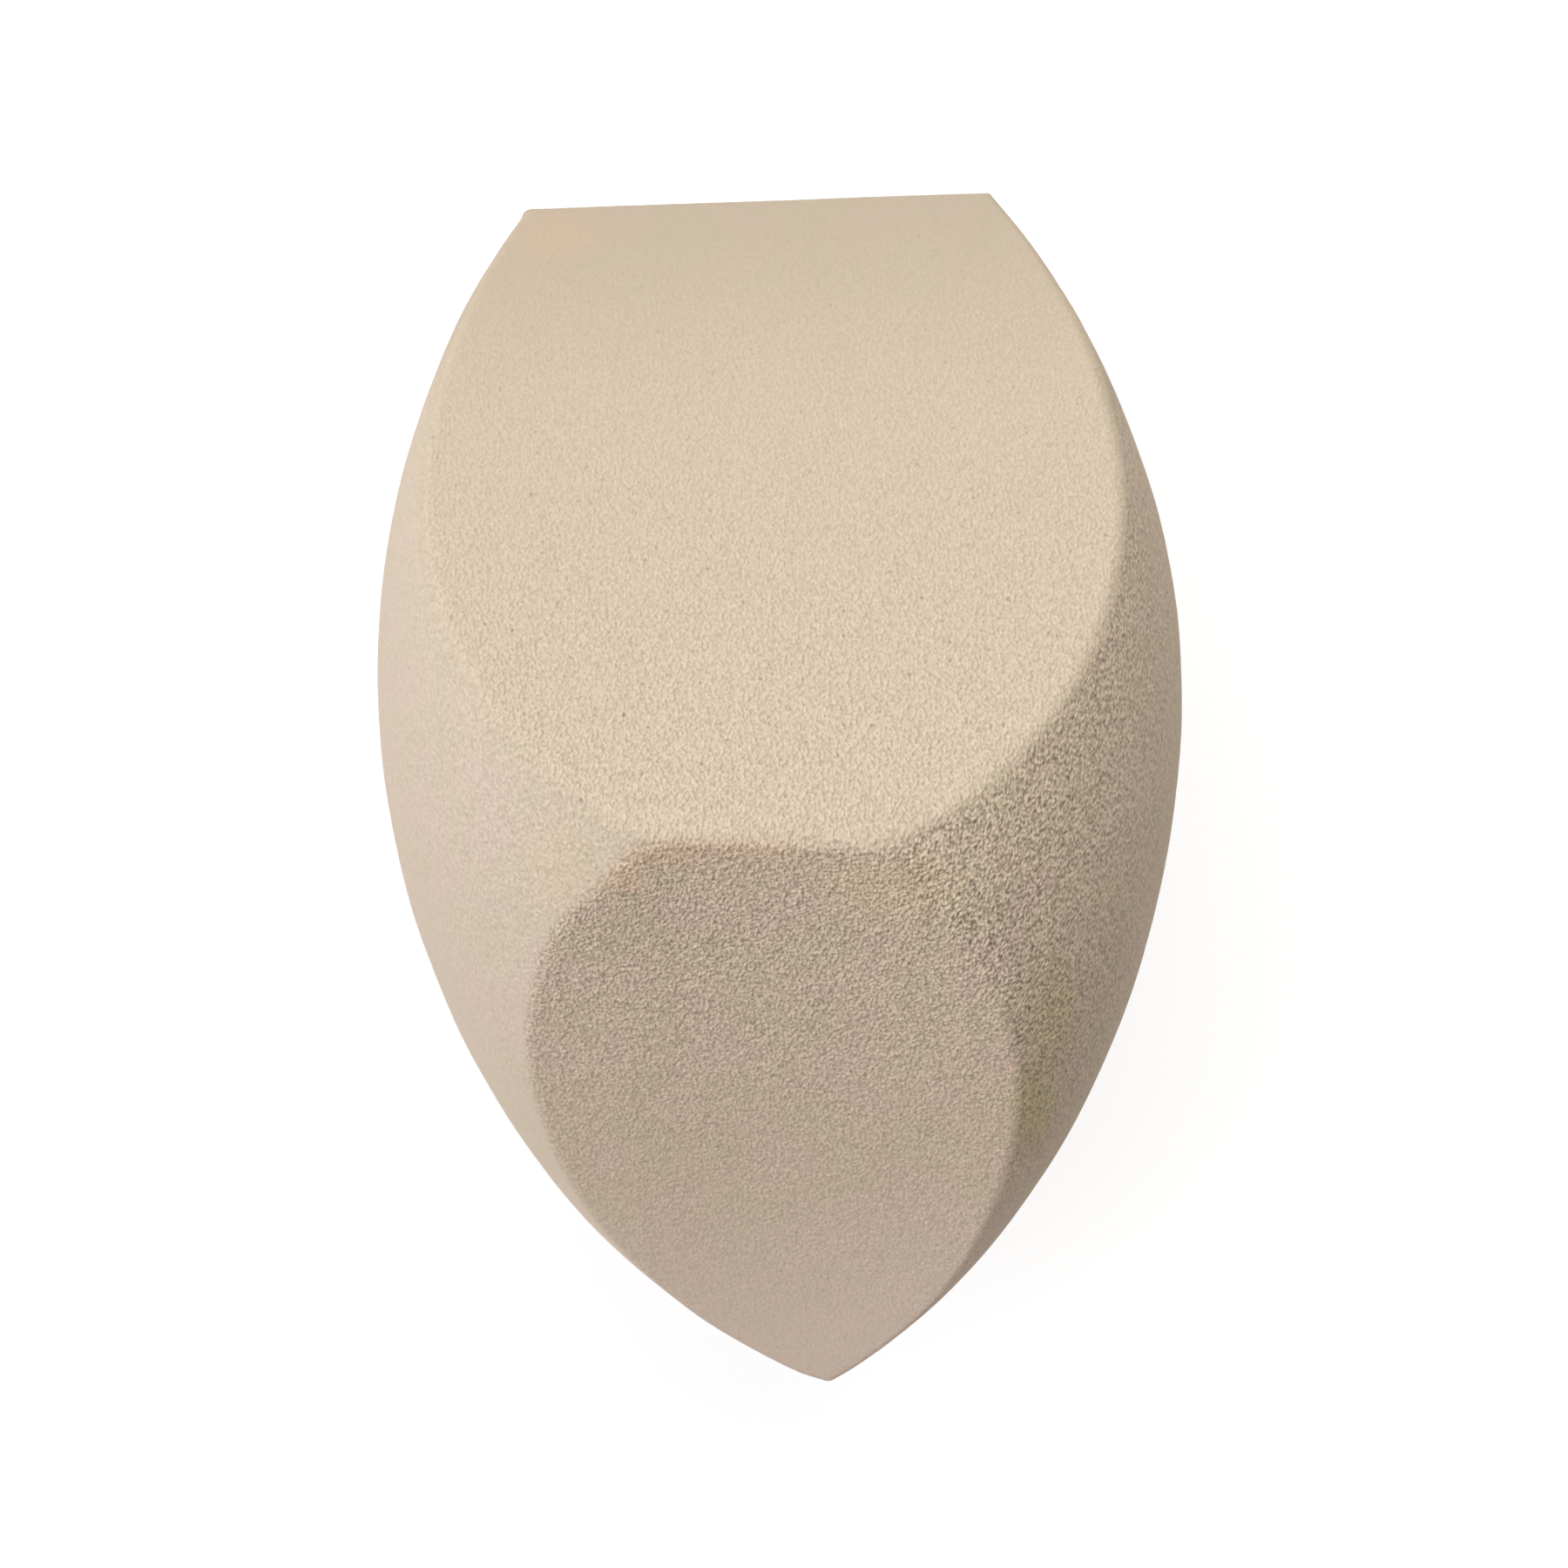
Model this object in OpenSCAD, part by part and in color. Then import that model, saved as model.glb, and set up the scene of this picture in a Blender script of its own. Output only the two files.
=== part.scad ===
// Makeup sponge: one block of soft open-cell foam, with nothing inside it.
// Its outline is a pointed oval, turned about the long axis. One end is cut off flat, and two
// slanted cuts, a long one toward the flat end and a shorter one toward the tip, meet in a ridge.
// Millimetres, +Z up. The sponge lies on its rounded back with the cuts on top. +Y is the end
// that is cut flat, -Y is the tip, and the origin is the middle of the face that it rests on.

/* [Body] */
// Largest diameter of the foam body
body_d = 41; // [30:0.5:56]
// Radius of the arc that the sides follow from the flat end to the tip
bow_r = 42.5; // [36:0.1:60]

/* [Cuts] */
// Distance along the axis from the widest place to the flat end
flat_end_reach = 25.6; // [15:0.1:28]
// Angle by which the flat end leans from square to the axis, its lower edge reaching less far
flat_end_lean = 6.8; // [-10:0.1:15]
// Distance along the axis from the widest place to the ridge, toward the tip
ridge_reach = 5.2; // [2:0.1:14]
// Depth of the ridge below the level of the widest place
ridge_inset = 0.95; // [0.5:0.05:4]
// Angle between the long cut and the axis
long_cut_angle = 37.6; // [25:0.1:44]
// Angle between the tip cut and the axis
tip_cut_angle = 33.2; // [28:0.1:45]
// Turn of the tip cut about the axis, toward -X
tip_cut_turn = 5.7; // [-12:0.1:12]

/* [Rest] */
// Angle that the axis makes with the surface, flat end raised, where the weight balances
rest_tilt = 6.8; // [0:0.1:12]
// How far the foam gives under its own weight where it lies
rest_give = 0.5; // [0.1:0.1:1.5]

/* [Hidden] */
body_r = body_d / 2;
// The arc's centre lies this far past the axis, on the other side from the arc
arc_offset = bow_r - body_r;
ridge_height = body_r - ridge_inset;
// Every cutting block is larger than the whole body
block_size = 4 * bow_r;
foam_color = [0.84, 0.77, 0.67];
$fn = 180;

// The whole oval about the Y axis, pointed at both ends
module turned_body()
    rotate([-90, 0, 0])
        rotate_extrude()
            intersection() {
                translate([-arc_offset, 0])
                    circle(r = bow_r);
                translate([0, -bow_r])
                    square([body_r, 2 * bow_r]);
            }

// What lies above a plane through the ridge, sloping down by slope toward +Y, turned about Y
module above_cut(slope, turn)
    translate([0, -ridge_reach, ridge_height])
        rotate([0, -turn, 0])
            rotate([-slope, 0, 0])
                translate([-block_size / 2, -block_size / 2, 0])
                    cube(block_size);

// What lies past the flat end
module past_flat_end()
    translate([0, flat_end_reach, 0])
        rotate([-flat_end_lean, 0, 0])
            translate([-block_size / 2, 0, -block_size / 2])
                cube(block_size);

module cut_body()
    difference() {
        turned_body();
        above_cut(long_cut_angle, 0);
        above_cut(-tip_cut_angle, tip_cut_turn);
        past_flat_end();
    }

// Lays the body down on the arc of its back
module at_rest()
    translate([0, 0, bow_r - rest_give])
        rotate([rest_tilt, 0, 0])
            translate([0, 0, -arc_offset])
                children();

module foam_body()
    color(foam_color)
        difference() {
            at_rest()
                cut_body();
            translate([-block_size / 2, -block_size / 2, -block_size])
                cube(block_size);
        }

foam_body();
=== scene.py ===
import math
from types import SimpleNamespace

import bmesh
import bpy
import numpy as np
from mathutils import Matrix, Vector


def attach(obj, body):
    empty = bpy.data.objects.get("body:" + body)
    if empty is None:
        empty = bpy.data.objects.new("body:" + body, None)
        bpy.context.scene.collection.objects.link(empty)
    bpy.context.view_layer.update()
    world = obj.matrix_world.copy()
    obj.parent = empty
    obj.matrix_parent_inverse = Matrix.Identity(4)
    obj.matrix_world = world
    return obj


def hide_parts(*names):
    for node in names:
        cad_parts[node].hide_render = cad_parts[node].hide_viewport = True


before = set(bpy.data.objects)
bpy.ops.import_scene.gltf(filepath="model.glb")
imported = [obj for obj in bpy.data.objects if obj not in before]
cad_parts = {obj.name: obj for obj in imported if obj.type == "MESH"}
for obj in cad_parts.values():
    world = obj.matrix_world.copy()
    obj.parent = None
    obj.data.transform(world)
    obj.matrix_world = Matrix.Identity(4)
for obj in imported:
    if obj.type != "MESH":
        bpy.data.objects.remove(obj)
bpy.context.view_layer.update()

# Lengths are in metres, and only the camera's sensor is in millimetres. A name that ends in SPAN
# is a pair: the place where a change starts and the place where it is full. A name that ends in
# RAMP has two places, and then the value at each of them.

# The cut body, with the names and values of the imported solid. The tip cut also turns half a
# degree more, lies a little deeper in the middle and has its left corner lifted, so that its
# edges run as they do in the photograph.
BODY_RADIUS = 0.0205
BOW_RADIUS = 0.0425
FLAT_END_REACH = 0.0256
FLAT_END_LEAN = math.radians(6.8)
RIDGE_REACH = 0.0052
RIDGE_INSET = 0.00095
LONG_CUT_ANGLE = math.radians(37.6)
TIP_CUT_ANGLE = math.radians(33.2)
TIP_CUT_TURN = math.radians(6.2)
TIP_CUT_SINK = 0.00002
TIP_CUT_DISH = 0.00015
DISH_HALF_WIDTH = 0.0085
CORNER_LIFT = 0.00024
LIFT_PLACE = (-0.0095, -0.0064)
LIFT_SPREAD = 0.0026
REST_TILT = math.radians(6.8)
REST_GIVE = 0.0005
ARC_OFFSET = BOW_RADIUS - BODY_RADIUS
RIDGE_HEIGHT = BODY_RADIUS - RIDGE_INSET

# The two cuts, as the functions below number them.
LONG_CUT = 0
TIP_CUT = 1

# How far the foam rounds over at its edges.
LONG_EDGE_ROUND = 0.0004
LEFT_EDGE_ROUND = 0.0006
LEFT_EDGE_SPAN = (0.004, -0.006)
LONG_EDGE_SPAN = (-0.007, -0.002)
TIP_EDGE_ROUND = 0.00025
FADED_EDGE_ROUND = 0.0011
FADED_RIGHT_SPAN = (0.004, 0.008)
FADED_TIP_SPAN = (-0.0150, -0.0110)
FADED_RIDGE_SPAN = (-0.0050, -0.0075)
RIDGE_ROUND = 0.0006
CRISP_ROUND = 0.0001
SOFT_FROM_TIP_SPAN = (-0.033, -0.025)
SOFT_FROM_END_SPAN = (0.027, 0.017)
END_ROUND = 0.00008
REST_ROUND = 0.0002

# The mesh: a ball of quads around a point inside the body.
MESH_CENTRE = np.array([0.0, -0.002, 0.019])
CAGE_RADII = np.array([0.0205, 0.031, 0.0195])
CAGE_CUTS = 14
CAGE_RELAXING = 60
CAGE_SPLITS = 4
REACH_LIMIT = 0.05
REACH_HALVINGS = 26
NORMAL_STEP = 2e-6

# Uneven foam: the tip leans aside and is pinched on its left, and the right flank sways.
TIP_LEAN_LEFT = 0.0005
TIP_LEAN_RIGHT = 0.00012
TIP_LEAN_RIGHT_SPAN = (-0.006, 0.006)
TIP_LEAN_SPAN = (-0.0225, -0.0305)
TIP_PINCH = 0.00029
TIP_PINCH_WAY = (0.48, 0.88)
TIP_PINCH_SPAN = (-0.0285, -0.0325)
TIP_PINCH_LEFT_SPAN = (0.0015, -0.0005)
TIP_PINCH_DEPTH_SPAN = (0.0065, 0.0)
SWAY = 0.00014
SWAY_LENGTH = 0.0356
SWAY_CREST = -0.0273
SWAY_SPAN = (0.019, 0.011)
RIGHT_SPAN = (0.0, 0.01)
LEFT_SPAN = (0.0, -0.01)

# The flat end is turned a little, the flanks beside both ends are trimmed or flared, and the
# corners are drawn out. A corner is its place, its pull, how far that spreads, and its cut.
FLAT_END_TURN = math.radians(0.97)
LEFT_TRIM = 0.0001
LEFT_TRIM_FROM_BODY_SPAN = (0.011, 0.021)
LEFT_TRIM_FROM_END_SPAN = (0.0276, 0.0254)
RIGHT_TRIM = 0.00007
RIGHT_TRIM_FROM_BODY_SPAN = (0.0213, 0.023)
RIGHT_TRIM_FROM_END_SPAN = (0.0256, 0.0238)
RIGHT_FLARE = 0.00015
RIGHT_FLARE_SPAN = (0.0250, 0.0280)
TIP_TRIM = 0.00031
TIP_TRIM_SPAN = (-0.0283, -0.0327)
TIP_TRIM_RIGHT_SPAN = (0.00068, 0.00158)
CORNERS = (
    ((0.00068, -0.0327), (0.0, -0.00011), 0.00035, TIP_CUT),
    ((-0.01170, 0.0281), (-0.00032, 0.00005), 0.0003, LONG_CUT),
    ((0.01189, 0.02776), (0.00012, 0.00002), 0.0004, LONG_CUT),
)

# The surface swells and sinks a little all over, but not where it rests.
SWELL_LENGTH = 0.006
SWELL_HEIGHT = 0.000008
SWELL_SEED = 3
DIMPLE_LENGTH = 0.0011
DIMPLE_HEIGHT = 0.000002
DIMPLE_SEED = 5
OFF_FLOOR_SPAN = (0.0, 0.001)
WAVE_COUNT = 48
WAVE_PITCH = (0.7, 1.4)

# The foam's colours, face by face.
LONG_CUT_COLOUR = (0.74, 0.605, 0.453)
TIP_CUT_COLOUR = (0.79, 0.62, 0.455)
RIGHT_COLOUR = (0.75, 0.6, 0.45)
LEFT_COLOUR = (0.735, 0.61, 0.472)
# Painted light: the foam turns paler toward the tip.
TIP_PAINTED_LIGHT_COLOUR = (0.85, 0.681, 0.545)
TIP_PAINTED_LIGHT_SPAN = (-0.020, -0.031)

# Faint patches of two more colours all over.
PINK_COLOUR = (0.78, 0.59, 0.475)
OLIVE_COLOUR = (0.72, 0.605, 0.425)
PATCH_SIZE = 0.0032
PATCH_DETAIL = 2.0
PATCH_SPAN = (0.35, 0.65)
PATCH_SHARE = 0.42
LONG_CUT_PATCH_SHARE = 0.12

# Soft spots of colour: the centre, the radii, the colour, and how much of it shows. They are
# under the ridge, beside its left corner, at the flat end's left corner and on the right side.
# The two on the right side are painted shade.
BLUSH_COLOUR = (0.835, 0.604, 0.426)
WARM_COLOUR = (0.797, 0.638, 0.433)
PALE_WARM_COLOUR = (0.755, 0.61, 0.425)
# Painted shade for the right flank below the crease: darker and more olive.
RIGHT_FLANK_SHADE_COLOUR = (0.685, 0.56, 0.32)
SPOT_SPAN = (1.0, 0.2)
SPOTS = (
    ((-0.0080, -0.0062, 0.0370), (0.0017, 0.0013, 0.0020), BLUSH_COLOUR, 0.8),
    ((-0.0062, -0.0050, 0.0378), (0.0026, 0.0010, 0.0020), BLUSH_COLOUR, 0.8),
    ((-0.0023, -0.0050, 0.0381), (0.0050, 0.0009, 0.0020), BLUSH_COLOUR, 0.6),
    ((0.0049, -0.0073, 0.0373), (0.0050, 0.0030, 0.0040), WARM_COLOUR, 0.8),
    ((-0.0113, -0.0054, 0.0358), (0.0026, 0.0035, 0.0050), PALE_WARM_COLOUR, 0.7),
    ((-0.0101, 0.0267, 0.0200), (0.0032, 0.0022, 0.0030), BLUSH_COLOUR, 0.5),
    # Painted shade on the right flank.
    ((0.0129, -0.0135, 0.0290), (0.0020, 0.0048, 0.0060), RIGHT_FLANK_SHADE_COLOUR, 0.6),
    ((0.0117, -0.0180, 0.0260), (0.0019, 0.0048, 0.0060), RIGHT_FLANK_SHADE_COLOUR, 0.8),
)

# The grain: round beads, fine noise and faint clumps, with specks of their own tone, painted
# light on the crests and bead tops, painted shade in the hollows, and pits of painted shade.
GRAIN_STRETCH = (1.0, 0.7, 1.0)
GRAIN_SIZE = 0.000138
GRAIN_DEPTH = 0.000125
CREST_LIGHT_AND_SHADE = 1.25
BEAD_SIZE = 0.00023
BEAD_SPAN = (0.85, 0.1)
BEAD_MIDDLE = 0.55
BEAD_SHARE = 0.5
BEAD_LIGHT_AND_SHADE = 0.45
CLUMP_SIZE = 0.00042
CLUMP_SHARE = 0.05
SPECK_SIZE = 0.00015
SPECK_TONE = 0.3
NOISE_MIDDLE = 0.5
BRIGHTEST_SPECK = 1.4
PIT_SHADE_RAMP = (0.03, 0.12, 0.34, 0.0)
SIDE_PIT_SHADE_SHARE = 0.4

# How strong the grain is on each face, and how that falls with height.
LONG_CUT_TONE = 0.34
TIP_CUT_TONE = 0.7
LEFT_TONE = 0.3
CUT_DEPTH = 0.79
LEFT_DEPTH = 0.5
LONG_CUT_GAIN_RAMP = (0.0193, 0.0368, 0.08, 1.0)
TIP_CUT_GAIN_RAMP = (0.0175, 0.0345, 0.15, 0.97)
RIGHT_GAIN_RAMP = (0.0193, 0.0345, 0.12, 0.95)
LOW_SIDE_RAMP = (-0.006, -0.018, 1.0, 1.4)

# Painted light and shade: how light each face is before its grain, lighter higher up, and
# darker toward the flat end.
CUT_LEVEL_RAMP = (0.020, 0.037, 0.968, 1.07)
RIGHT_LEVEL_RAMP = (0.028, 0.037, 0.948, 1.185)
LEFT_LEVEL = 1.025
END_SHADE_RAMP = (0.016, 0.030, 1.0, 0.885)

# How far under a cut its look gives way to the side's, and how far across the left's does.
OFF_LONG_CUT_SPAN = (0.0001, 0.0006)
OFF_TIP_CUT_SPAN = (0.00004, 0.00024)
OFF_LEFT_SPAN = (-0.010, 0.008)
# A faint line of painted shade along the long cut's left edge, where its rounding catches light.
EDGE_SHADE_SPAN = (0.00003, 0.00016)
EDGE_SHADE_END_SPAN = (0.0008, 0.0002)
EDGE_SHADE_RAMP = (0.0, 0.6, 0.06, 0.0)

# The foam is matt, with a faint sheen.
FOAM_ROUGHNESS = 0.92
FOAM_SHINE = 0.25
FOAM_SHEEN = 0.06
FOAM_SHEEN_ROUGHNESS = 0.6

# The photograph's view: straight down, a little turned.
PICTURE_PIXELS = 1800
PIXELS_PER_METRE = 22448.0
VIEW_PLANE = 0.020155
VIEW_DISTANCE = 0.5
VIEW_CENTRE = (0.000005, -0.001866)
VIEW_TURN = math.radians(-2.905)
VIEW_NEAREST = 0.01
VIEW_FARTHEST = 10.0
SENSOR = 36.0

# The pale floor and the faint light from all round.
WHITE = (1.0, 1.0, 1.0, 1.0)
FLOOR_SIZE = 3.0
FLOOR_COLOUR = (0.8, 0.8, 0.8, 1.0)
FLOOR_SEEN_COLOUR = (0.36, 0.36, 0.36, 1.0)
FLOOR_LIFT = 0.8
SKY_LEVEL = 0.239
SKY_TINT = (1.0, 0.88, 0.82, 1.0)
SKY_BRIGHT_WAY = (-0.26, 0.26, 0.0)

# The lamps: the name, the turn and rise in degrees, how bright a white card facing the lamp
# looks with 1 for white, and the tint.
LAMPS = (
    ("side_lamp", 180, 35, 0.64, (0.86, 0.905, 1.0)),
    ("top_lamp", 75, 55, 0.6, (0.96, 1.0, 0.98)),
)
LAMP_AIM = (0.0, 0.0, 0.02)
LAMP_DISTANCE = 1.8
LAMP_WIDTH = 1.6


def ease(value, start, end):
    """0 at start, 1 at end, with a soft beginning and end."""
    t = np.clip((value - start) / (end - start), 0, 1)
    return t * t * (3 - 2 * t)


def to_body(points):
    """From the lying sponge to the body's own axes: X across, Y along the axis, Z up from it."""
    c = math.cos(REST_TILT)
    s = math.sin(REST_TILT)
    y = points[:, 1]
    z = points[:, 2] - (BOW_RADIUS - REST_GIVE)
    return points[:, 0], c * y + s * z, c * z - s * y + ARC_OFFSET


def rounded(a, b, radius):
    """The part of space inside both a and b, with the edge between them rounded."""
    corner = np.hypot(np.maximum(a + radius, 0), np.maximum(b + radius, 0))
    return np.minimum(np.maximum(a, b), -radius) + corner


def over_cuts(points):
    """How far each point is above the long cut, and above the tip cut, both flat."""
    x, y, z = to_body(points)
    along = y + RIDGE_REACH
    above = z - RIDGE_HEIGHT
    long_cut = along * math.sin(LONG_CUT_ANGLE) + above * math.cos(LONG_CUT_ANGLE)
    tip_up = above * math.cos(TIP_CUT_TURN) - x * math.sin(TIP_CUT_TURN)
    tip_cut = tip_up * math.cos(TIP_CUT_ANGLE) - along * math.sin(TIP_CUT_ANGLE) + TIP_CUT_SINK
    return long_cut, tip_cut


def cut_slope(cut):
    """How far the origin is above a cut, and how that changes per metre along each axis."""
    heights = over_cuts(np.vstack([np.zeros(3), np.eye(3)]))[cut]
    return heights[0], heights[1:] - heights[0]


def edge_roundness(x, y):
    """How far the cuts' edges round over: crisp at both ends, softest where they fade."""
    soft = ease(y, *SOFT_FROM_TIP_SPAN) * ease(y, *SOFT_FROM_END_SPAN)
    left = ease(x, *LEFT_EDGE_SPAN)
    upper = LONG_EDGE_ROUND + (LEFT_EDGE_ROUND - LONG_EDGE_ROUND) * left
    faded = ease(x, *FADED_RIGHT_SPAN) * ease(y, *FADED_TIP_SPAN) * ease(y, *FADED_RIDGE_SPAN)
    lower = TIP_EDGE_ROUND + (FADED_EDGE_ROUND - TIP_EDGE_ROUND) * faded
    full = lower + (upper - lower) * ease(y, *LONG_EDGE_SPAN)
    return CRISP_ROUND + (full - CRISP_ROUND) * soft


def field(points):
    """How far each point is outside the sponge, below zero inside it."""
    x, y, z = to_body(points)
    long_cut, tip_cut = over_cuts(points)
    dish = np.maximum(1 - (points[:, 0] / DISH_HALF_WIDTH) ** 2, 0)
    away = np.hypot(points[:, 0] - LIFT_PLACE[0], points[:, 1] - LIFT_PLACE[1])
    lift = np.exp(-((away / LIFT_SPREAD) ** 2))
    tip_cut = tip_cut + TIP_CUT_DISH * dish - CORNER_LIFT * lift
    turned = np.hypot(np.hypot(x, z) + ARC_OFFSET, y) - BOW_RADIUS
    reach = FLAT_END_REACH - x * math.tan(FLAT_END_TURN)
    flat_end = (y - reach) * math.cos(FLAT_END_LEAN) - z * math.sin(FLAT_END_LEAN)
    cuts = rounded(long_cut, tip_cut, RIDGE_ROUND)
    body = rounded(turned, cuts, edge_roundness(x, y))
    body = rounded(body, flat_end, END_ROUND)
    return rounded(body, -points[:, 2], REST_ROUND)


def on_surface(points):
    """Each point moved along its ray from the mesh centre to the sponge's surface."""
    rays = points - MESH_CENTRE
    rays /= np.linalg.norm(rays, axis=1, keepdims=True)
    near = np.zeros(len(rays))
    far = np.full(len(rays), REACH_LIMIT)
    for _ in range(REACH_HALVINGS):
        middle = (near + far) / 2
        outside = field(MESH_CENTRE + rays * middle[:, None]) > 0
        far = np.where(outside, middle, far)
        near = np.where(outside, near, middle)
    return MESH_CENTRE + rays * far[:, None]


def outward(points):
    """The surface's outward normals."""
    steps = NORMAL_STEP * np.eye(3)
    normals = np.stack([field(points + step) - field(points - step) for step in steps], 1)
    return normals / np.linalg.norm(normals, axis=1, keepdims=True)


def waves(points, length, seed):
    """An even random swell with about this wavelength and a mean square of one."""
    chance = np.random.default_rng(seed)
    total = np.zeros(len(points))
    for _ in range(WAVE_COUNT):
        way = chance.normal(size=3)
        way /= np.linalg.norm(way)
        number = 2 * math.pi / length * chance.uniform(*WAVE_PITCH)
        total += np.cos(points @ way * number + chance.uniform(0, 2 * math.pi))
    return total * math.sqrt(2 / WAVE_COUNT)


def read_points(mesh):
    flat = np.zeros(len(mesh.vertices) * 3, np.float32)
    mesh.vertices.foreach_get("co", flat)
    return flat.reshape(-1, 3).astype(float)


def write_points(mesh, points):
    mesh.vertices.foreach_set("co", points.astype(np.float32).ravel())
    mesh.update()


def relaxed_cage():
    """A coarse mesh of even quads over the sponge."""
    bm = bmesh.new()
    bmesh.ops.create_cube(bm, size=2.0)
    bmesh.ops.subdivide_edges(bm, edges=bm.edges[:], cuts=CAGE_CUTS, use_grid_fill=True)
    mesh = bpy.data.meshes.new("foam_body_surface")
    bm.to_mesh(mesh)
    bm.free()
    points = read_points(mesh)
    points /= np.linalg.norm(points, axis=1, keepdims=True)
    points = on_surface(MESH_CENTRE + points * CAGE_RADII)
    ends = np.zeros(len(mesh.edges) * 2, np.int32)
    mesh.edges.foreach_get("vertices", ends)
    a, b = ends.reshape(-1, 2).T
    count = np.bincount(ends, minlength=len(points))[:, None]
    for _ in range(CAGE_RELAXING):
        total = np.zeros_like(points)
        np.add.at(total, a, points[b])
        np.add.at(total, b, points[a])
        points = on_surface((points + total / count) / 2)
    write_points(mesh, points)
    return mesh


def foam_points(points):
    """The fine mesh's points on the surface, with the foam's unevenness."""
    points = on_surface(points)
    swell = SWELL_HEIGHT * waves(points, SWELL_LENGTH, SWELL_SEED)
    swell += DIMPLE_HEIGHT * waves(points, DIMPLE_LENGTH, DIMPLE_SEED)
    swell *= ease(points[:, 2], *OFF_FLOOR_SPAN)
    points = points + outward(points) * swell[:, None]
    return sharpened(leaned(points))


def slid(points, moves, cut):
    """The points moved in plan by moves, and up or down so that they stay on their cut."""
    slope = cut_slope(cut)[1]
    moved = points.copy()
    moved[:, :2] += moves
    moved[:, 2] -= (moves @ slope[:2]) / slope[2]
    return moved


def leaned(points):
    """The points with the tip leaned and pinched, and the right flank swayed a little."""
    x, y = points[:, 0], points[:, 1]
    lean = TIP_LEAN_LEFT + (TIP_LEAN_RIGHT - TIP_LEAN_LEFT) * ease(x, *TIP_LEAN_RIGHT_SPAN)
    shift = lean * ease(y, *TIP_LEAN_SPAN)
    sway = SWAY * np.cos(2 * math.pi * (y - SWAY_CREST) / SWAY_LENGTH)
    shift += sway * ease(x, *RIGHT_SPAN) * ease(y, *SWAY_SPAN)
    pinch = TIP_PINCH * ease(y, *TIP_PINCH_SPAN) * ease(x, *TIP_PINCH_LEFT_SPAN)
    pinch *= ease(-over_cuts(points)[TIP_CUT], *TIP_PINCH_DEPTH_SPAN)
    moved = slid(points, pinch[:, None] * np.array(TIP_PINCH_WAY), TIP_CUT)
    moved[:, 0] += shift
    return moved


def sharpened(points):
    """The points with the flanks beside both ends trimmed and the three corners drawn out."""
    x, y = points[:, 0], points[:, 1]
    still = np.zeros_like(x)
    left = ease(y, *LEFT_TRIM_FROM_BODY_SPAN) * ease(y, *LEFT_TRIM_FROM_END_SPAN)
    right = ease(y, *RIGHT_TRIM_FROM_BODY_SPAN) * ease(y, *RIGHT_TRIM_FROM_END_SPAN)
    flare = RIGHT_FLARE * ease(y, *RIGHT_FLARE_SPAN) - RIGHT_TRIM * right
    end = LEFT_TRIM * left * ease(x, *LEFT_SPAN) + flare * ease(x, *RIGHT_SPAN)
    tip = -TIP_TRIM * ease(y, *TIP_TRIM_SPAN) * ease(x, *TIP_TRIM_RIGHT_SPAN)
    points = slid(points, np.stack([end, still], 1), LONG_CUT)
    points = slid(points, np.stack([tip, still], 1), TIP_CUT)
    for place, pull, spread, cut in CORNERS:
        away = np.hypot(points[:, 0] - place[0], points[:, 1] - place[1])
        points = slid(points, np.exp(-away / spread)[:, None] * np.array(pull), cut)
    return points


def make_foam():
    """The foam block, one closed mesh."""
    foam = bpy.data.objects.new("foam_body_surface", relaxed_cage())
    bpy.context.collection.objects.link(foam)
    split = foam.modifiers.new("split", "SUBSURF")
    split.levels = CAGE_SPLITS
    split.render_levels = CAGE_SPLITS
    shown = foam.evaluated_get(bpy.context.evaluated_depsgraph_get())
    fine = bpy.data.meshes.new_from_object(shown)
    foam.modifiers.clear()
    foam.data = fine
    write_points(fine, foam_points(read_points(fine)))
    fine.polygons.foreach_set("use_smooth", np.ones(len(fine.polygons), bool))
    fine.materials.append(foam_material())
    return foam


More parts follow.
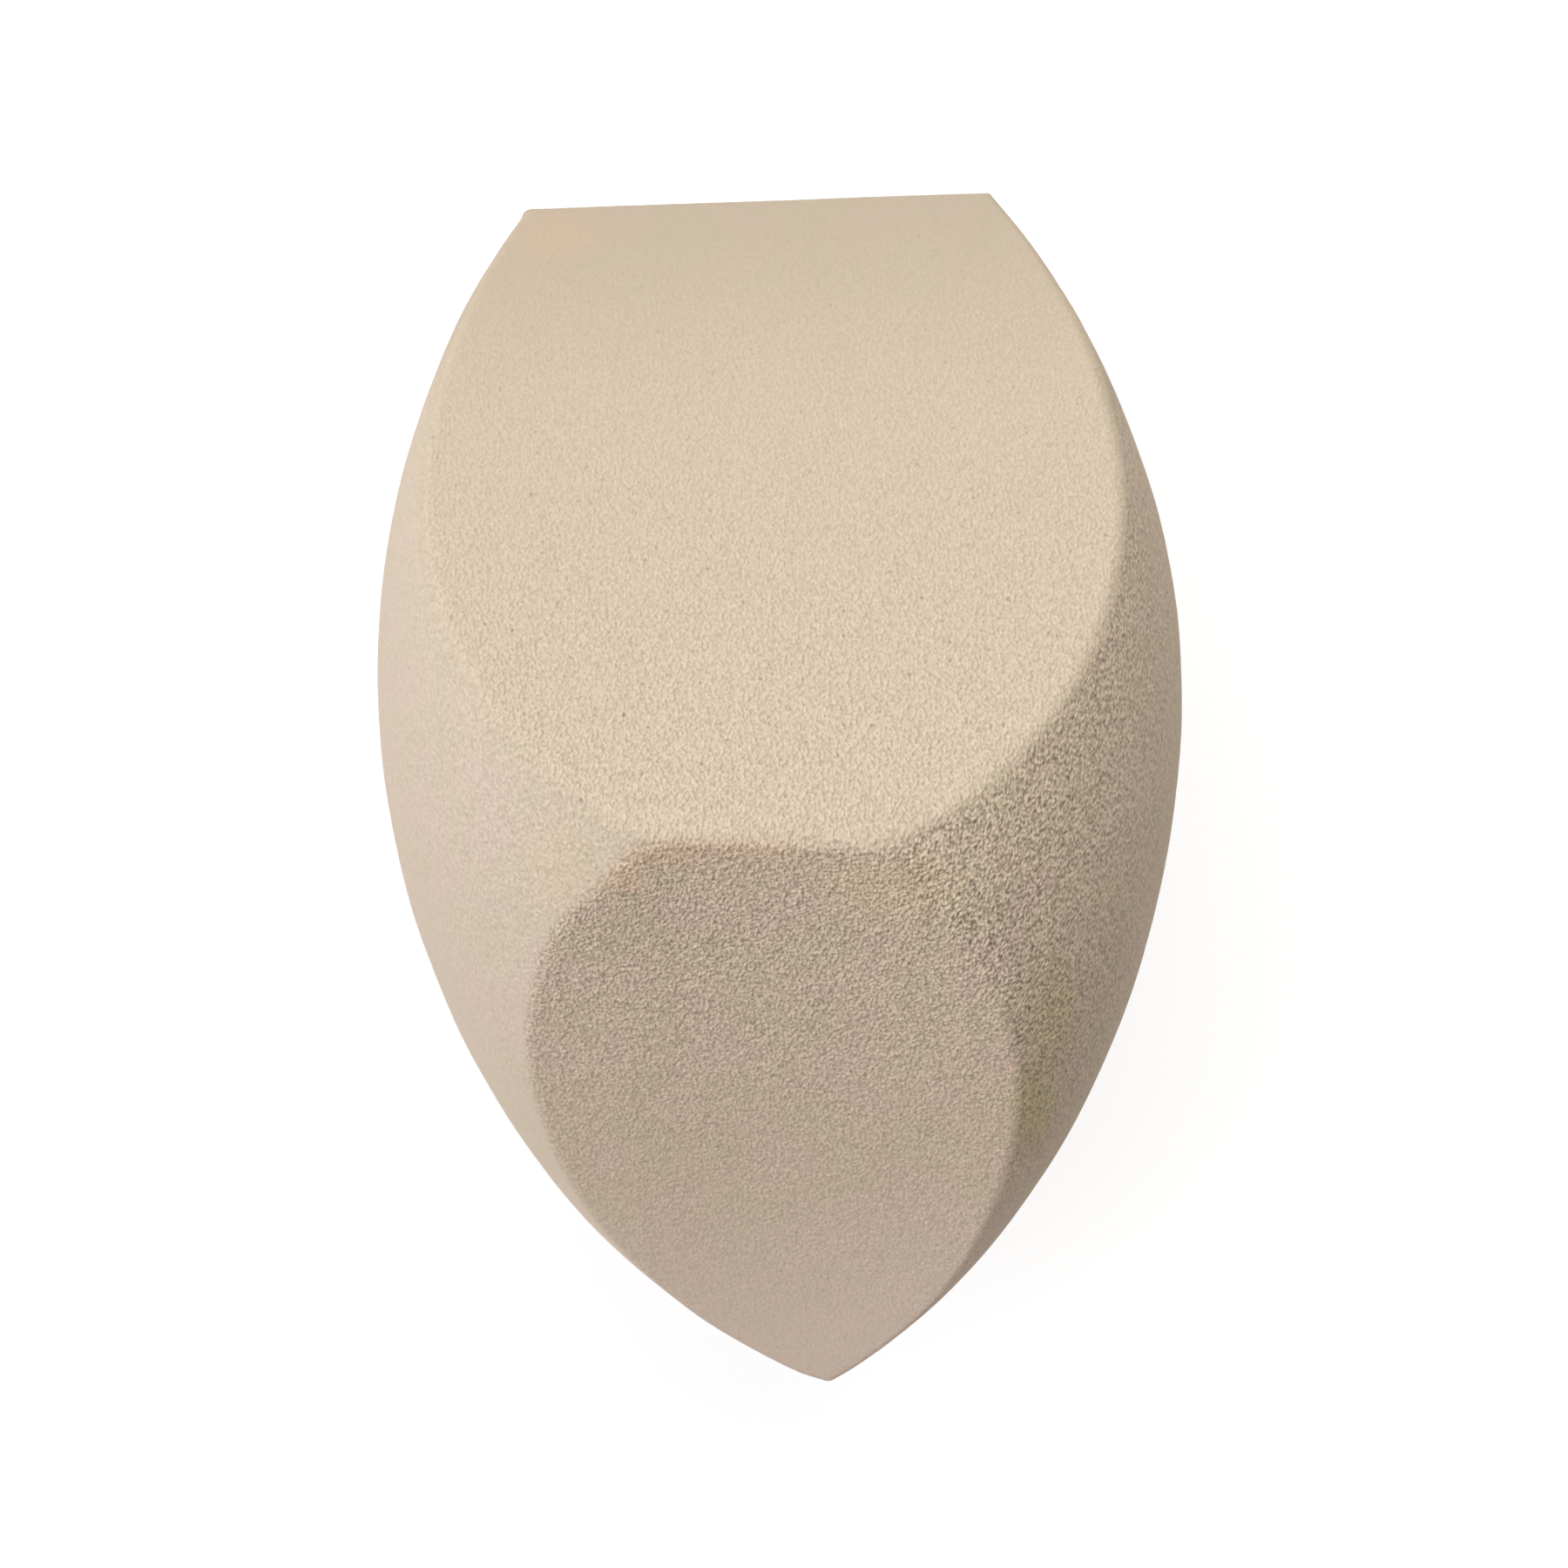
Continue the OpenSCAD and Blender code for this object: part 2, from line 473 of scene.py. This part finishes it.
class Nodes:
    """Short calls that add a shader node, link what goes into it and return what comes out."""

    # Where a mix node has its share, its two colours and its result
    MIX_INPUTS = (0, 6, 7)
    MIX_OUTPUT = 2

    def __init__(self, owner):
        owner.use_nodes = True
        self.tree = owner.node_tree
        self.tree.nodes.clear()

    def put(self, socket, value):
        if isinstance(value, bpy.types.NodeSocket):
            self.tree.links.new(value, socket)
        else:
            socket.default_value = value

    def add(self, kind, settings=(), **inputs):
        node = self.tree.nodes.new(kind)
        for name, value in dict(settings).items():
            setattr(node, name, value)
        for name, value in inputs.items():
            self.put(node.inputs[name.replace("_", " ")], value)
        return node

    def maths(self, operation, *values):
        node = self.add("ShaderNodeMath", {"operation": operation})
        for socket, value in zip(node.inputs, values):
            self.put(socket, value)
        return node.outputs[0]

    def vector(self, operation, *values):
        node = self.add("ShaderNodeVectorMath", {"operation": operation})
        for socket, value in zip(node.inputs, values):
            self.put(socket, value)
        gives_number = operation in ("DOT_PRODUCT", "DISTANCE", "LENGTH")
        return node.outputs["Value" if gives_number else "Vector"]

    def ramp(self, value, start, end, low=0.0, high=1.0, kind="SMOOTHSTEP"):
        """Value from start to end becomes low to high."""
        node = self.add("ShaderNodeMapRange", {"interpolation_type": kind})
        for socket, v in zip(node.inputs, (value, start, end, low, high)):
            self.put(socket, v)
        return node.outputs[0]

    def between(self, share, a, b):
        """a where share is 0 and b where it is 1, with a soft change between them."""
        return self.ramp(share, 0.0, 1.0, a, b)

    def mix(self, share, a, b):
        """Colour a where share is 0 and colour b where it is 1."""
        node = self.add("ShaderNodeMix", {"data_type": "RGBA"})
        colours = [(*c, 1.0) if isinstance(c, tuple) else c for c in (a, b)]
        for number, value in zip(self.MIX_INPUTS, (share, *colours)):
            self.put(node.inputs[number], value)
        return node.outputs[self.MIX_OUTPUT]

    def mix_shaders(self, share, a, b):
        """Shader a where share is 0 and shader b where it is 1."""
        node = self.add("ShaderNodeMixShader", Fac=share)
        self.put(node.inputs[1], a.outputs[0])
        self.put(node.inputs[2], b.outputs[0])
        return node.outputs[0]


def under_cut(nodes, place, cut):
    """How far a place is under a cut's flat face."""
    start, slope = cut_slope(cut)
    return nodes.maths("SUBTRACT", -start, nodes.vector("DOT_PRODUCT", place, tuple(slope)))


def under_tip_cut(nodes, place, across, along):
    """How far a place is under the tip cut's face, with its dish and its lifted corner."""
    share = nodes.maths("DIVIDE", across, DISH_HALF_WIDTH)
    dish = nodes.maths("MULTIPLY_ADD", nodes.maths("MULTIPLY", share, share), -1.0, 1.0)
    dish = nodes.maths("MULTIPLY", nodes.maths("MAXIMUM", dish, 0.0), TIP_CUT_DISH)
    flat_place = nodes.add("ShaderNodeCombineXYZ", X=across, Y=along).outputs[0]
    away = nodes.vector("DISTANCE", flat_place, (*LIFT_PLACE, 0.0))
    away = nodes.maths("DIVIDE", away, LIFT_SPREAD)
    fall = nodes.maths("MULTIPLY", nodes.maths("MULTIPLY", away, away), -1.0)
    lift = nodes.maths("MULTIPLY", nodes.maths("EXPONENT", fall), CORNER_LIFT)
    under = nodes.maths("SUBTRACT", under_cut(nodes, place, TIP_CUT), dish)
    return nodes.maths("ADD", under, lift)


def find_faces(nodes, place, across, along):
    """How far a place is under the long cut, and by face a value that is 0 on it and 1 off it."""
    under_long = under_cut(nodes, place, LONG_CUT)
    off_long = nodes.ramp(under_long, *OFF_LONG_CUT_SPAN)
    off_tip = nodes.ramp(under_tip_cut(nodes, place, across, along), *OFF_TIP_CUT_SPAN)
    return SimpleNamespace(
        under_long=under_long,
        off_long=off_long,
        off_tip=off_tip,
        off_cuts=nodes.maths("MINIMUM", off_long, off_tip),
        off_left=nodes.ramp(across, *OFF_LEFT_SPAN),
    )


def by_face(nodes, faces, long_cut, tip_cut, left, right):
    """The value of the face that a place lies on, with a soft change between faces."""
    side = nodes.between(faces.off_left, left, right)
    return nodes.between(faces.off_long, long_cut, nodes.between(faces.off_tip, tip_cut, side))


def foam_grain(nodes, place):
    """The grain's height for the bumps, its beads and fine noise, and a chance for each speck."""
    at = nodes.vector("MULTIPLY", place, GRAIN_STRETCH)
    cells = nodes.add("ShaderNodeTexVoronoi", Vector=at, Scale=1 / BEAD_SIZE)
    bead = nodes.ramp(cells.outputs["Distance"], *BEAD_SPAN)
    noise = nodes.add("ShaderNodeTexNoise", Vector=at, Scale=1 / GRAIN_SIZE, Detail=0.0)
    clumps = nodes.add("ShaderNodeTexNoise", Vector=at, Scale=1 / CLUMP_SIZE, Detail=0.0)
    specks = nodes.add("ShaderNodeTexVoronoi", Vector=at, Scale=1 / SPECK_SIZE)
    fine = noise.outputs["Fac"]
    height = nodes.maths("MULTIPLY_ADD", bead, BEAD_SHARE, fine)
    height = nodes.maths("MULTIPLY_ADD", clumps.outputs["Fac"], CLUMP_SHARE, height)
    return SimpleNamespace(height=height, bead=bead, fine=fine, speck=specks.outputs["Color"])


def soft_spot(nodes, place, centre, radii):
    """1 in the middle of a soft oval spot and 0 outside it."""
    from_centre = nodes.vector("DIVIDE", nodes.vector("SUBTRACT", place, centre), radii)
    return nodes.ramp(nodes.vector("LENGTH", from_centre), *SPOT_SPAN)


def foam_colour(nodes, faces, place, along):
    """The plain colour of each face, with faint patches, a few soft spots and painted light at
    the tip.
    """
    patches = nodes.add(
        "ShaderNodeTexNoise", Vector=place, Scale=1 / PATCH_SIZE, Detail=PATCH_DETAIL
    )
    patch = nodes.mix(nodes.ramp(patches.outputs["Fac"], *PATCH_SPAN), OLIVE_COLOUR, PINK_COLOUR)
    side = nodes.mix(faces.off_left, LEFT_COLOUR, RIGHT_COLOUR)
    side = nodes.mix(faces.off_tip, TIP_CUT_COLOUR, side)
    colour = nodes.mix(faces.off_long, LONG_CUT_COLOUR, side)
    share = nodes.between(faces.off_long, LONG_CUT_PATCH_SHARE, PATCH_SHARE)
    colour = nodes.mix(share, colour, patch)
    # Soft spots; the two on the right flank are painted shade.
    for centre, radii, tint, amount in SPOTS:
        inside = nodes.maths("MULTIPLY", soft_spot(nodes, place, centre, radii), amount)
        colour = nodes.mix(inside, colour, tint)
    # Painted light: paler toward the tip.
    return nodes.mix(nodes.ramp(along, *TIP_PAINTED_LIGHT_SPAN), colour, TIP_PAINTED_LIGHT_COLOUR)


def grain_tone_and_shade(nodes, faces, grain, gain, low_side):
    """How light each grain is: 1 on average, with specks, painted light on crests and painted
    shade in hollows and pits.
    """
    tone = nodes.maths("MULTIPLY", nodes.maths("SUBTRACT", grain.speck, NOISE_MIDDLE), SPECK_TONE)
    crest = nodes.maths("SUBTRACT", grain.fine, NOISE_MIDDLE)
    tone = nodes.maths("MULTIPLY_ADD", crest, CREST_LIGHT_AND_SHADE, tone)
    round_top = nodes.maths("SUBTRACT", grain.bead, BEAD_MIDDLE)
    tone = nodes.maths("MULTIPLY_ADD", round_top, BEAD_LIGHT_AND_SHADE, tone)
    share = by_face(nodes, faces, LONG_CUT_TONE, TIP_CUT_TONE, LEFT_TONE, low_side)
    tone = nodes.maths("MULTIPLY_ADD", tone, nodes.maths("MULTIPLY", share, gain), 1.0)
    pit_shade_share = nodes.maths("MULTIPLY", gain, nodes.between(faces.off_long, 1.0, SIDE_PIT_SHADE_SHARE))
    pit_shade = nodes.maths("MULTIPLY", nodes.ramp(grain.speck, *PIT_SHADE_RAMP), pit_shade_share)
    return nodes.maths("MINIMUM", nodes.maths("SUBTRACT", tone, pit_shade), BRIGHTEST_SPECK)


def painted_light_level(nodes, faces, along, up):
    """Painted light and shade: how light each part is before its grain, darker toward the flat
    end.
    """
    cut = nodes.ramp(up, *CUT_LEVEL_RAMP, "LINEAR")
    right = nodes.ramp(up, *RIGHT_LEVEL_RAMP, "LINEAR")
    level = nodes.between(faces.off_cuts, cut, nodes.between(faces.off_left, LEFT_LEVEL, right))
    return nodes.maths("MULTIPLY", level, nodes.ramp(along, *END_SHADE_RAMP))


def edge_painted_shade(nodes, faces):
    """1, and a little less on a faint line of painted shade along the long cut's left edge."""
    line = nodes.ramp(faces.under_long, *EDGE_SHADE_SPAN)
    line = nodes.maths("MULTIPLY", line, nodes.ramp(faces.under_long, *EDGE_SHADE_END_SPAN))
    left = nodes.ramp(faces.off_left, *EDGE_SHADE_RAMP)
    return nodes.maths("SUBTRACT", 1.0, nodes.maths("MULTIPLY", line, left))


def foam_material():
    """Fine cut foam: a close grain of bumps and painted-shade pits, deepest at the ridge, and
    faint patches.
    """
    material = bpy.data.materials.new("fine_foam")
    nodes = Nodes(material)
    place = nodes.add("ShaderNodeTexCoord").outputs["Object"]
    across, along, up = nodes.add("ShaderNodeSeparateXYZ", Vector=place).outputs
    faces = find_faces(nodes, place, across, along)
    grain = foam_grain(nodes, place)
    low_side = nodes.ramp(along, *LOW_SIDE_RAMP)
    ramps = (LONG_CUT_GAIN_RAMP, TIP_CUT_GAIN_RAMP, RIGHT_GAIN_RAMP)
    long_gain, tip_gain, right_gain = [nodes.ramp(up, *ramp, "LINEAR") for ramp in ramps]
    gain = by_face(nodes, faces, long_gain, tip_gain, long_gain, right_gain)

    tone = grain_tone_and_shade(nodes, faces, grain, gain, low_side)
    # Painted light and shade by face and height.
    tone = nodes.maths("MULTIPLY", tone, painted_light_level(nodes, faces, along, up))
    # Painted shade along the long cut's left edge.
    tone = nodes.maths("MULTIPLY", tone, edge_painted_shade(nodes, faces))
    shaded = nodes.add("ShaderNodeVectorMath", {"operation": "SCALE"}, Scale=tone)
    nodes.put(shaded.inputs[0], foam_colour(nodes, faces, place, along))

    side_depth = nodes.between(faces.off_left, LEFT_DEPTH, low_side)
    depth = nodes.maths("MULTIPLY", nodes.between(faces.off_cuts, CUT_DEPTH, side_depth), gain)
    bump = nodes.add("ShaderNodeBump", Height=grain.height, Strength=depth, Distance=GRAIN_DEPTH)
    surface = nodes.add(
        "ShaderNodeBsdfPrincipled",
        Base_Color=shaded.outputs[0],
        Normal=bump.outputs[0],
        Roughness=FOAM_ROUGHNESS,
        Specular_IOR_Level=FOAM_SHINE,
        Sheen_Weight=FOAM_SHEEN,
        Sheen_Roughness=FOAM_SHEEN_ROUGHNESS,
    )
    nodes.add("ShaderNodeOutputMaterial", Surface=surface.outputs[0])
    return material


def seen_directly(nodes):
    """1 for what the camera sees, also in a mirror or through glass."""
    path = nodes.add("ShaderNodeLightPath").outputs
    direct = nodes.maths("MAXIMUM", path["Is Camera Ray"], path["Is Glossy Ray"])
    return nodes.maths("MAXIMUM", direct, path["Is Transmission Ray"])


def floor_material():
    """Pale floor that shows as white and keeps a light shadow."""
    material = bpy.data.materials.new("pale_floor")
    nodes = Nodes(material)
    lit = nodes.add("ShaderNodeBsdfDiffuse", Color=FLOOR_COLOUR)
    thin = nodes.add("ShaderNodeBsdfDiffuse", Color=FLOOR_SEEN_COLOUR)
    glow = nodes.add("ShaderNodeEmission", Color=WHITE, Strength=FLOOR_LIFT)
    seen = nodes.add("ShaderNodeAddShader")
    nodes.put(seen.inputs[0], thin.outputs[0])
    nodes.put(seen.inputs[1], glow.outputs[0])
    floor = nodes.mix_shaders(seen_directly(nodes), lit, seen)
    nodes.add("ShaderNodeOutputMaterial", Surface=floor)
    return material


def make_floor():
    half = FLOOR_SIZE / 2
    mesh = bpy.data.meshes.new("floor")
    corners = [(-half, -half, 0), (half, -half, 0), (half, half, 0), (-half, half, 0)]
    mesh.from_pydata(corners, [], [(0, 1, 2, 3)])
    floor = bpy.data.objects.new("floor", mesh)
    bpy.context.collection.objects.link(floor)
    mesh.materials.append(floor_material())


def make_sky():
    """A faint light from all round, stronger from one side. The camera sees it as white."""
    world = bpy.data.worlds.new("studio")
    bpy.context.scene.world = world
    nodes = Nodes(world)
    way = nodes.add("ShaderNodeTexCoord").outputs["Generated"]
    slope = nodes.vector("DOT_PRODUCT", way, SKY_BRIGHT_WAY)
    level = nodes.maths("MULTIPLY_ADD", slope, SKY_LEVEL, SKY_LEVEL)
    faint = nodes.add("ShaderNodeBackground", Color=SKY_TINT, Strength=level)
    white = nodes.add("ShaderNodeBackground", Color=WHITE, Strength=1.0)
    sky = nodes.mix_shaders(seen_directly(nodes), faint, white)
    nodes.add("ShaderNodeOutputWorld", Surface=sky)


def make_lamp(name, turn, rise, level, tint):
    """A square soft lamp that faces the sponge."""
    data = bpy.data.lights.new(name, "AREA")
    data.shape = "SQUARE"
    data.size = LAMP_WIDTH
    data.energy = math.pi**2 * LAMP_DISTANCE**2 * level
    data.color = tint
    lamp = bpy.data.objects.new(name, data)
    bpy.context.collection.objects.link(lamp)
    a = math.radians(turn)
    e = math.radians(rise)
    way = Vector((math.cos(a) * math.cos(e), math.sin(a) * math.cos(e), math.sin(e)))
    lamp.location = Vector(LAMP_AIM) + way * LAMP_DISTANCE
    lamp.rotation_mode = "QUATERNION"
    lamp.rotation_quaternion = way.to_track_quat("Z", "Y")
    lamp.visible_camera = False


def make_camera():
    data = bpy.data.cameras.new("camera")
    data.sensor_width = SENSOR
    data.lens = SENSOR * VIEW_DISTANCE * PIXELS_PER_METRE / PICTURE_PIXELS
    data.clip_start = VIEW_NEAREST
    data.clip_end = VIEW_FARTHEST
    camera = bpy.data.objects.new("camera", data)
    bpy.context.collection.objects.link(camera)
    place = Matrix.Translation((*VIEW_CENTRE, VIEW_PLANE + VIEW_DISTANCE))
    camera.matrix_world = place @ Matrix.Rotation(VIEW_TURN, 4, "Z")
    bpy.context.scene.camera = camera


foam = make_foam()
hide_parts("foam_body")
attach(foam, "root")

make_floor()
make_sky()
for lamp in LAMPS:
    make_lamp(*lamp)
make_camera()
bpy.context.scene.view_settings.view_transform = "Standard"
